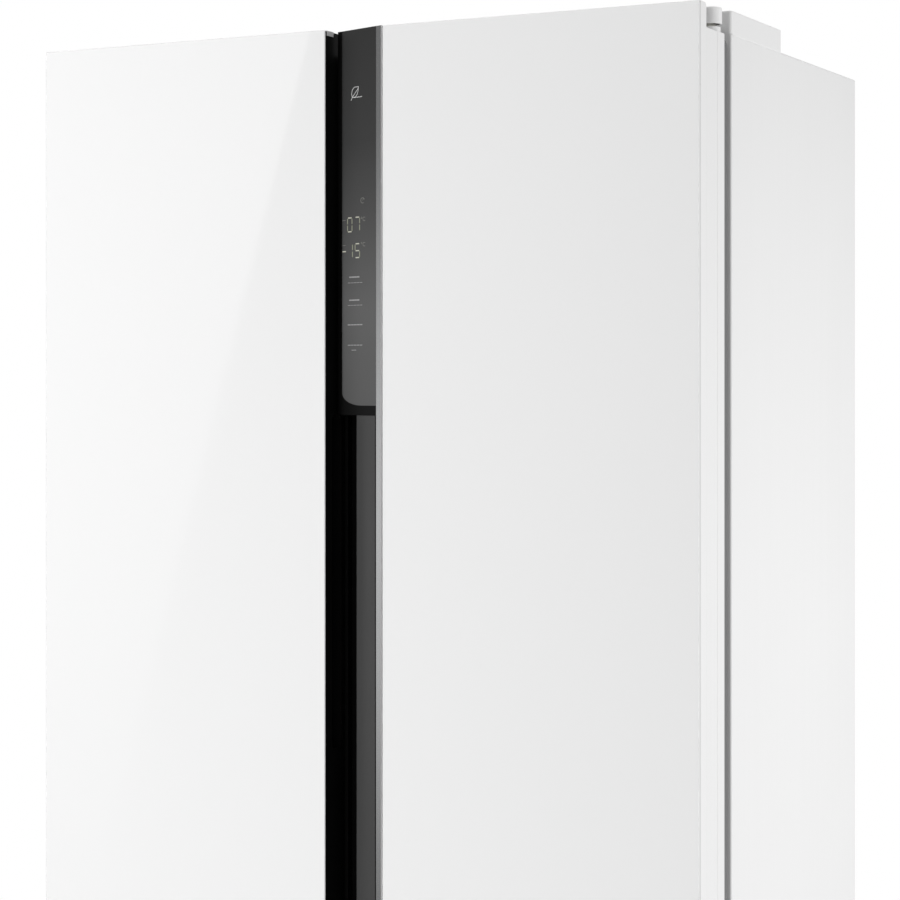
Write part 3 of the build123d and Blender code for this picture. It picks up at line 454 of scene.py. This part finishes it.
# ---------------------------------------------------------------- CAD nodes: finishes, edges
EDGE_ROUND = {  # radius in millimetres that the softened edges of a node get
    "outer_case": 0.45, "back_panel": 0.4, "mullion_strip": 0.5, "control_box": 0.8,
    "rear_spacers": 1.2, "kick_plate": 0.8, "drain_pan": 0.5, "machine_cover": 0.3,
    "left_door_frame": 1.2, "right_door_frame": 1.2,
    "left_door_shell": 0.6, "right_door_shell": 0.6,
    "left_door_liner": 1.1, "right_door_liner": 1.1,
    "left_door_grip": 0.7, "right_door_grip": 0.6, "left_door_cap": 0.8,
    "display_housing": 0.5, "display_glass": 0.5, "trim_strip": 0.3,
    "freezer_liner": 0.9, "fridge_liner": 0.9,
    "freezer_duct_cover": 0.9, "fridge_duct_cover": 0.9, "shelf_glasses": 0.6,
    "freezer_drawer_lower": 0.9, "freezer_drawer_upper": 0.9,
    "crisper_lower": 0.9, "crisper_upper": 0.9,
}
JOIN_DISTANCE = 0.01 * MM
SHARP_EDGE = math.radians(32)  # an edge that turns more than this is softened

RIM_LIMIT = 0.3  # a glass face that turns this little towards the front or back is its rim
GRIP_SIDE = 0.9  # how squarely a rim faces the grip
TRIM_SIDE = 0.7
LIP_FACE = Vector((-0.358, -1.0, 0.0)).normalized()
LIP_LIMIT = 0.99


def soften(node, radius):
    """Rounds a node's sharp edges with modifiers; its own mesh stays as it is."""
    mesh = node.data
    with bpy.context.temp_override(object=node, active_object=node, selected_objects=[node]):
        bpy.ops.mesh.customdata_custom_splitnormals_clear()
    mesh.polygons.foreach_set("use_smooth", [True] * len(mesh.polygons))
    weld = node.modifiers.new("join", "WELD")
    weld.merge_threshold = JOIN_DISTANCE
    bevel = node.modifiers.new("edges", "BEVEL")
    bevel.width = radius * MM
    bevel.segments = 2
    bevel.limit_method = "ANGLE"
    bevel.angle_limit = SHARP_EDGE
    bevel.harden_normals = True
    bevel.miter_outer = "MITER_SHARP"


def dress_nodes():
    slots = {part["node"]: part["material_slot"] for part in frame["record"]["subparts"]}
    for name, node in nodes.items():
        node.data.materials.clear()
        node.data.materials.append(FINISHES[slots[name]])
        if name in EDGE_ROUND:
            soften(node, EDGE_ROUND[name])


def dress_faces(name, finish, chosen):
    """Gives the faces of a node that pass a test their own finish."""
    mesh = nodes[name].data
    mesh.materials.append(finish)
    for face in mesh.polygons:
        if chosen(face.normal):
            face.material_index = len(mesh.materials) - 1


def dress_glass_edges():
    """Ground rims of the door glasses, black where one meets the grip, a painted highlight on the
    metal trim's right side, and the pull lip's face.
    """
    rim = glass_edge("glass_edge", grey(0.60)).material
    # the rim that faces the grip is made black, much darker than the grey outer rims
    dark = glass_edge("grip_side_edge", grey(0.006)).material
    # the metal trim's right-facing side gets a pale grey non-metal finish instead of its metal: a
    # painted highlight
    bright = glass_edge("trim_painted_highlight", grey(0.84)).material
    lip = lip_satin().material
    for name in ("left_door_glass", "right_door_glass"):
        dress_faces(name, rim, lambda normal: abs(normal.y) < RIM_LIMIT)
    dress_faces("left_door_glass", dark, lambda normal: normal.x > GRIP_SIDE)
    dress_faces("trim_strip", bright, lambda normal: normal.x > TRIM_SIDE)
    dress_faces("right_door_grip", lip, lambda normal: LIP_FACE.dot(normal) > LIP_LIMIT)


# ---------------------------------------------------------------- new pieces
SMOOTH_ANGLE = math.radians(50)


def mesh_object(name, build, finish):
    """Makes an object with one finish from a filled bmesh."""
    mesh = bpy.data.meshes.new(name)
    build.normal_update()
    build.to_mesh(mesh)
    build.free()
    made = bpy.data.objects.new(name, mesh)
    scene.collection.objects.link(made)
    mesh.materials.append(finish)
    return made


def piece(name, build, finish, body):
    """Makes a new piece of the refrigerator, which rides on a body."""
    made = mesh_object(name, build, finish)
    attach(made, body)
    return made


def smooth(made):
    made.data.polygons.foreach_set("use_smooth", [True] * len(made.data.polygons))
    made.data.set_sharp_from_angle(angle=SMOOTH_ANGLE)


def wall(build, low, high):
    """Faces between two closed loops of vertices."""
    for n in range(len(low)):
        after = (n + 1) % len(low)
        build.faces.new((low[n], low[after], high[after], high[n]))


# ---------------------------------------------------------------- door seals
SEAL_PROFILE = (  # inset from the outer edge, share of the depth, share of the hinge side step
    (1.6, 0.0, 0), (0.5, 0.03, 0), (0.0, 0.10, 0), (0.0, 0.50, 0), (0.6, 0.60, 0),
    (2.0, 0.66, 0.2), (2.6, 0.70, 0.9), (1.2, 0.76, 1), (0.2, 0.82, 1), (0.0, 0.94, 1),
    (0.8, 1.0, 1), (13.2, 1.0, 1), (14.0, 0.90, 1), (14.0, 0.72, 1), (13.2, 0.60, 1),
    (11.4, 0.48, 1), (11.4, 0.40, 1), (13.2, 0.28, 1), (14.0, 0.18, 1), (13.6, 0.06, 1),
    (12.2, 0.0, 1),
)
SEAL_STEP = 6.5  # how far the magnet part stands in from the lip on the hinge side
SEAL_CORNER = 8.0
SEAL_INNER_CORNER = 2.0
CORNER_STEPS = 8


def rounded_outline(low, high, inset, left_step, right_step):
    """Points (x, z) round a rectangle with round corners, moved inwards by the inset and steps."""
    radius = max(SEAL_CORNER - inset, SEAL_INNER_CORNER) * MM
    inset *= MM
    x = (low.x + inset + radius + left_step * MM, high.x - inset - radius - right_step * MM)
    z = (low.z + inset + radius, high.z - inset - radius)
    centres = ((x[1], z[1]), (x[0], z[1]), (x[0], z[0]), (x[1], z[0]))
    points = []
    for quarter, (cx, cz) in enumerate(centres):
        for n in range(CORNER_STEPS + 1):
            angle = math.radians(90 * quarter + 90 * n / CORNER_STEPS)
            points.append((cx + radius * math.cos(angle), cz + radius * math.sin(angle)))
    return points


def door_seal(door):
    """Magnetic seal with a bellows section, in place of the plain ring."""
    node = f"{door}_seal"
    low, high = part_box(node)
    build = bmesh.new()
    loops = []
    for inset, share, stepped in SEAL_PROFILE:
        step = SEAL_STEP * stepped
        left_step, right_step = (step, 0) if door == "left_door" else (0, step)
        y = low.y + (high.y - low.y) * share
        outline = rounded_outline(low, high, inset, left_step, right_step)
        loops.append([build.verts.new((x, y, z)) for x, z in outline])
    for n, loop in enumerate(loops):
        wall(build, loop, loops[(n + 1) % len(loops)])
    bmesh.ops.recalc_face_normals(build, faces=build.faces)
    made = piece(f"{door}_bellows_seal", build, FINISHES["seal_grey"], door)
    smooth(made)
    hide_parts(node)


# ---------------------------------------------------------------- hinge cover feet
FOOT_PROFILE = (  # in from the cabinet side, down from the cabinet top
    (0.15, -0.3), (0.15, 1.2), (0.6, 2.4), (1.6, 1.0), (2.4, -0.3),
)
FOOT_END = 3.0


def hinge_cover_feet():
    """Lip under each hinge cover's outer edge, down over the rounded edge of the cabinet top."""
    case_low, case_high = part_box("outer_case")
    _, cover_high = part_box("hinge_covers")
    build = bmesh.new()
    for side, edge in ((-1, case_low.x), (1, case_high.x)):
        outline = [(edge - side * inwards * MM, case_high.z - drop * MM)
                   for inwards, drop in FOOT_PROFILE]
        front, back = [
            [build.verts.new((x, y, z)) for x, z in outline]
            for y in (case_low.y + FOOT_END * MM, cover_high.y - FOOT_END * MM)
        ]
        build.faces.new(front)
        build.faces.new(back[::-1])
        wall(build, back, front)
    bmesh.ops.recalc_face_normals(build, faces=build.faces)
    made = piece("hinge_cover_feet", build, FINISHES["cover_white"], "cabinet")
    smooth(made)


# ---------------------------------------------------------------- control panel marks
GLASS_THICKNESS = 3.0 * MM
MARK_LIFT = 0.05 * MM
MARK_THICKNESS = 0.12 * MM
JOINT_REACH = 0.25  # how far a line runs past its end points, as a share of its width


class PanelFace:
    """The slanted front of the control glass, drawn on in millimetres from the trim and the top."""

    def __init__(self):
        low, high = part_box("display_glass")
        self.corner = Vector((high.x, low.y, high.z))
        across = Vector((low.x - high.x, high.y - GLASS_THICKNESS - low.y, 0))
        self.across = across.normalized()
        self.stretch = across.length / (high.x - low.x)
        self.out = Vector((self.across.y, -self.across.x, 0))
        if self.out.y > 0:
            self.out.negate()

    def at(self, reach, drop, lift):
        """Point reach to the left of the trim and drop below the top, lifted off the glass."""
        place = self.corner + self.across * (reach * MM * self.stretch)
        return place + Vector((0, 0, -drop * MM)) + self.out * lift

    def ribbon(self, build, points, width):
        """Thin raised line of constant width through (reach, drop) points."""
        places = [Vector(point) for point in points]
        for start, end in zip(places, places[1:]):
            along = (end - start).normalized()
            side = Vector((-along.y, along.x)) * (width / 2)
            start, end = start - along * (width * JOINT_REACH), end + along * (width * JOINT_REACH)
            self.patch(build, (start + side, end + side, end - side, start - side))

    def patch(self, build, corners):
        """Thin raised plate on an outline of (reach, drop) points."""
        back, front = [
            [build.verts.new(self.at(*corner, lift)) for corner in corners]
            for lift in (MARK_LIFT, MARK_LIFT + MARK_THICKNESS)
        ]
        build.faces.new(front)
        build.faces.new(back[::-1])
        wall(build, back, front)


SEGMENTS = {"0": "abcdef", "1": "bc", "5": "afgcd", "7": "abc"}  # lit segments of a numeral
LEVEL_SEGMENTS = "adg"  # the level segments glow brighter than the upright ones
DIGIT_HEIGHT = 15.6
DIGIT_WIDTH = 7.2
SEGMENT_WIDTH = 1.15
SEGMENT_GAP = 0.55
NUMERALS = (  # digit, reach of its left side, drop of its top: 07, then 15
    ("0", 45.2, 212.2), ("7", 33.0, 211.9), ("1", 44.4, 241.8), ("5", 33.0, 241.8),
)
MINUS = ((53.0, 249.9), (48.2, 249.9))


def numeral(face, level, upright, digit, left, top):
    """Seven-segment numeral whose upper left corner is at reach left and drop top."""
    right = left - DIGIT_WIDTH
    middle = top + DIGIT_HEIGHT / 2
    bottom = top + DIGIT_HEIGHT
    gap = SEGMENT_GAP + SEGMENT_WIDTH / 2
    runs = {
        "a": ((left - gap, top), (right + gap, top)),
        "b": ((right, top + gap), (right, middle - gap)),
        "c": ((right, middle + gap), (right, bottom - gap)),
        "d": ((left - gap, bottom), (right + gap, bottom)),
        "e": ((left, middle + gap), (left, bottom - gap)),
        "f": ((left, top + gap), (left, middle - gap)),
        "g": ((left - gap, middle), (right + gap, middle)),
    }
    for segment in SEGMENTS[digit]:
        build = level if segment in LEVEL_SEGMENTS else upright
        face.ribbon(build, runs[segment], SEGMENT_WIDTH)


def temperature_digits(face, level_finish, upright_finish):
    """07 for the refrigerator and -15 for the freezer."""
    level, upright = bmesh.new(), bmesh.new()
    for digit, left, top in NUMERALS:
        numeral(face, level, upright, digit, left, top)
    face.ribbon(level, MINUS, SEGMENT_WIDTH)
    piece("level_segments", level, level_finish, "right_door")
    piece("upright_segments", upright, upright_finish, "right_door")


def arc(centre, radius, start, end, steps=10):
    """Points (reach, drop) on a circle between two angles in degrees."""
    angles = [math.radians(start + (end - start) * n / steps) for n in range(steps + 1)]
    return [(centre[0] - radius * math.cos(a), centre[1] - radius * math.sin(a)) for a in angles]


UNIT_DROPS = (212.4, 240.8)  # tops of the two rows of unit marks
TICK_DROPS = (214.6, 243.0)
FINE_LINE = 0.45
ALARM_CENTRE = (21.0, 193.5)


def unit_marks(face, finish):
    """Degree rings and open unit arcs beside the numerals, scale ticks and an alarm mark."""
    build = bmesh.new()
    for drop in UNIT_DROPS:
        face.ribbon(build, arc((22.6, drop + 0.6), 0.9, 0, 360, 8), FINE_LINE)
        face.ribbon(build, arc((18.4, drop + 2.0), 2.1, 50, 310), 0.5)
    for drop in TICK_DROPS:
        face.ribbon(build, ((53.2, drop), (48.6, drop)), FINE_LINE)
    face.ribbon(build, arc(ALARM_CENTRE, 3.0, 20, 300), 0.55)
    face.ribbon(build, (ALARM_CENTRE, (19.2, 191.4)), FINE_LINE)
    piece("unit_marks", build, finish, "right_door")


LEAF_OUTLINE = (
    (37.6, 76.5), (38.6, 72.5), (37.6, 68.0), (34.4, 65.2), (27.6, 65.0), (28.2, 69.5),
    (29.6, 73.6), (33.0, 76.4), (37.6, 76.5),
)
LEAF_STEM = ((39.6, 79.6), (37.4, 76.2), (28.4, 67.2))
LEAF_LINE = 0.6
LEAF_RULES = ((34.6, 30.8), (29.8, 27.2), (26.2, 22.2))
LEAF_RULE_WIDTH = 0.75


def leaf_icon(face, finish):
    """Outline of a leaf with its stem and vein, beside short rules."""
    build = bmesh.new()
    face.ribbon(build, LEAF_OUTLINE, LEAF_LINE)
    face.ribbon(build, LEAF_STEM, LEAF_LINE)
    for start, end in LEAF_RULES:
        face.ribbon(build, ((start, 76.9), (end, 76.5)), LEAF_RULE_WIDTH)
    piece("leaf_icon", build, finish, "right_door")


WIDE_RULES = ((44.5, 40.4), (39.2, 36.6), (35.4, 31.0), (29.8, 26.2), (25.0, 21.8))
NARROW_RULES = ((42.0, 39.2), (38.2, 34.4), (33.4, 31.2), (30.2, 26.6))
TINY_RULES = ((38.4, 35.2), (34.4, 31.6))
KEY_ROWS = (  # rules, drop, line width
    (NARROW_RULES, 279.2, 1.5), (WIDE_RULES, 285.6, 0.6), (NARROW_RULES, 305.2, 1.5),
    (WIDE_RULES, 311.0, 0.6), (WIDE_RULES, 333.0, 1.2), (WIDE_RULES, 356.0, 0.9),
    (TINY_RULES, 361.6, 0.8),
)


def key_marks(face, finish):
    """Rows of short rules under the touch keys."""
    build = bmesh.new()
    for rules, drop, width in KEY_ROWS:
        for start, end in rules:
            face.ribbon(build, ((start, drop), (end, drop)), width)
    piece("key_marks", build, finish, "right_door")


def control_marks():
    face = PanelFace()
    level = lit_mark("level_segment", (0.62, 0.62, 0.52), 0.62).material
    upright = lit_mark("upright_segment", (0.36, 0.37, 0.28), 0.50).material
    temperature_digits(face, level, upright)
    unit_marks(face, lit_mark("dim_mark", (0.26, 0.26, 0.24), 0.5).material)
    leaf_icon(face, lit_mark("icon_mark", grey(0.70), 0.6).material)
    key_marks(face, lit_mark("printed_mark", grey(0.45), 0.42).material)


# ---------------------------------------------------------------- camera
CAMERA_TURN = math.radians(28.168)
CAMERA_AWAY = 2.4448  # straight back from the door's near top corner
CAMERA_LEFT = 0.32157
CAMERA_DROP = 0.39314  # below the door tops
LENS = 94.11
SHIFT = (0.0667, -0.0799)
SENSOR = 36.0


def place_camera():
    """Level camera placed from the right door's near top corner; gives its place."""
    low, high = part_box("right_door_glass")
    back = Vector((math.sin(CAMERA_TURN), -math.cos(CAMERA_TURN), 0))
    right = Vector((math.cos(CAMERA_TURN), math.sin(CAMERA_TURN), 0))
    corner = Vector((high.x, low.y, high.z))
    data = bpy.data.cameras.new("camera")
    data.lens = LENS
    data.sensor_width = SENSOR
    data.shift_x, data.shift_y = SHIFT
    camera = bpy.data.objects.new("camera", data)
    camera.location = corner + back * CAMERA_AWAY - right * CAMERA_LEFT
    camera.location.z -= CAMERA_DROP
    camera.rotation_euler = (math.radians(90), 0, CAMERA_TURN)
    scene.collection.objects.link(camera)
    scene.camera = camera
    return camera.location


# ---------------------------------------------------------------- studio
FLOOR_RADIUS = 3.0
FLOOR_SIDES = 96
SURROUND = 0.40  # brightness of the surroundings on surfaces; the backdrop itself shows as white


def card(name, corners, levels):
    """Glowing sheet on four corners, seen only in reflections; levels are (height, glow)."""
    glow = Finish(name, Specular_IOR_Level=0.0, Base_Color=grey(0.0), Emission_Strength=1.0)
    low, high = levels[0][0], levels[-1][0]
    stops = [((level - low) / (high - low), grey(bright)) for level, bright in levels]
    glow.set(Emission_Color=glow.ramp(glow.rise(low, high), stops))
    build = bmesh.new()
    build.faces.new([build.verts.new(corner) for corner in corners])
    made = mesh_object(name, build, glow.material)
    made.visible_camera = False
    made.visible_shadow = False
    made.visible_diffuse = False
    made.visible_transmission = False


CARD_DISTANCE = 1.1  # how far past the door glass the card stands, as a share of the sight line
SLANT_TOP = (-0.0496, 1.7658)  # (x, z) on the door glass where the card's mirrored edge starts
SLANT_FOOT = (-0.3458, 0.7525)  # and a point lower down on that edge
EDGE_ABOVE = 0.35  # how far the edge runs on above and below, as shares of its length
EDGE_BELOW = 1.2
CARD_WIDTH = 1.2
GLASS_LEVELS = ((-4.0, 0.35), (0.17, 0.44), (0.6, 0.70), (1.35, 1.15), (2.2, 1.65), (5.0, 1.8))


def mirrored_card(camera):
    """Tall card whose slanted edge shows in the left door's glass."""
    low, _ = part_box("left_door_glass")
    seen_from = Vector((camera.x, 2 * low.y - camera.y, camera.z))
    top, foot = [Vector((x, low.y, z)) for x, z in (SLANT_TOP, SLANT_FOOT)]
    run = foot - top
    edge = [top - run * EDGE_ABOVE, foot + run * EDGE_BELOW]
    away = [point - Vector((CARD_WIDTH, 0, 0)) for point in edge[::-1]]
    corners = [point + (point - seen_from) * CARD_DISTANCE for point in edge + away]
    card("tall_card", corners, GLASS_LEVELS)


TRIM_CARD_X = -1.9
TRIM_CARD_Y = (-2.2, -0.35)
TRIM_LEVELS = (
    (-2.0, 0.10), (0.32, 0.30), (0.70, 0.68), (1.12, 0.96), (1.54, 0.60), (1.85, 0.28), (4.0, 0.20),
)


def trim_card():
    """Upright card at the far left that the metal trim mirrors, brightest at half height."""
    front, back = TRIM_CARD_Y
    foot, top = TRIM_LEVELS[0][0], TRIM_LEVELS[-1][0]
    outline = ((front, foot), (back, foot), (back, top), (front, top))
    card("trim_card", [(TRIM_CARD_X, y, z) for y, z in outline], TRIM_LEVELS)


LAMPS = (  # name, place, point it faces, size in metres, watts
    ("front_lamp", (-1.6, -3.3, 1.35), (0.0, -0.3, 1.3), 1.4, 78.0),
    ("side_lamp", (2.25, 0.1, 1.12), (0.42, 0.1, 1.2), 0.8, 26.0),
    ("top_lamp", (0.0, 0.0, 5.0), (0.0, 0.01, 0.0), 0.5, 45.0),
    ("back_lamp", (-0.6, 3.5, 1.2), (0.0, 0.3, 1.0), 1.2, 40.0),
)


def lamp(name, place, aim, size, power, unlit):
    """Soft square light that never shows in a reflection and leaves the unlit objects out."""
    data = bpy.data.lights.new(name, "AREA")
    data.size = size
    data.energy = power
    made = bpy.data.objects.new(name, data)
    made.location = place
    made.rotation_euler = (Vector(aim) - Vector(place)).to_track_quat("-Z", "Y").to_euler()
    made.visible_glossy = False
    made.visible_camera = False
    made.visible_transmission = False
    made.light_linking.receiver_collection = unlit
    scene.collection.objects.link(made)


def left_out(objects):
    """Collection that keeps lamps off some objects."""
    unlit = bpy.data.collections.new("unlit")
    for item in objects:
        unlit.objects.link(item)
    for entry in unlit.collection_objects:
        entry.light_linking.link_state = "EXCLUDE"
    return unlit


def world_light():
    """White backdrop, seen directly or through glass, that lights surfaces less than it shows."""
    world = bpy.data.worlds.new("studio")
    scene.world = world
    world.use_nodes = True
    tree = world.node_tree
    background = tree.nodes["Background"]
    background.inputs["Color"].default_value = (1.0, 1.0, 1.0, 1.0)
    rays = tree.nodes.new("ShaderNodeLightPath")
    seen = tree.nodes.new("ShaderNodeMath")
    seen.operation = "MAXIMUM"
    level = tree.nodes.new("ShaderNodeMapRange")
    level.inputs["To Min"].default_value = SURROUND
    level.inputs["To Max"].default_value = 1.0
    tree.links.new(rays.outputs["Is Camera Ray"], seen.inputs[0])
    tree.links.new(rays.outputs["Is Transmission Ray"], seen.inputs[1])
    tree.links.new(seen.outputs["Value"], level.inputs["Value"])
    tree.links.new(level.outputs["Result"], background.inputs["Strength"])


def floor():
    build = bmesh.new()
    bmesh.ops.create_circle(build, cap_ends=True, radius=FLOOR_RADIUS, segments=FLOOR_SIDES)
    made = mesh_object("studio_floor", build, studio_floor().material)
    return made


def studio():
    scene.view_settings.view_transform = "Standard"
    scene.view_settings.look = "None"
    camera = place_camera()
    world_light()
    mirrored_card(camera)
    trim_card()
    unlit = left_out([floor()])
    for settings in LAMPS:
        lamp(*settings, unlit)


# ---------------------------------------------------------------- all together
dress_nodes()
dress_glass_edges()
for door in ("left_door", "right_door"):
    door_seal(door)
hinge_cover_feet()
control_marks()
studio()
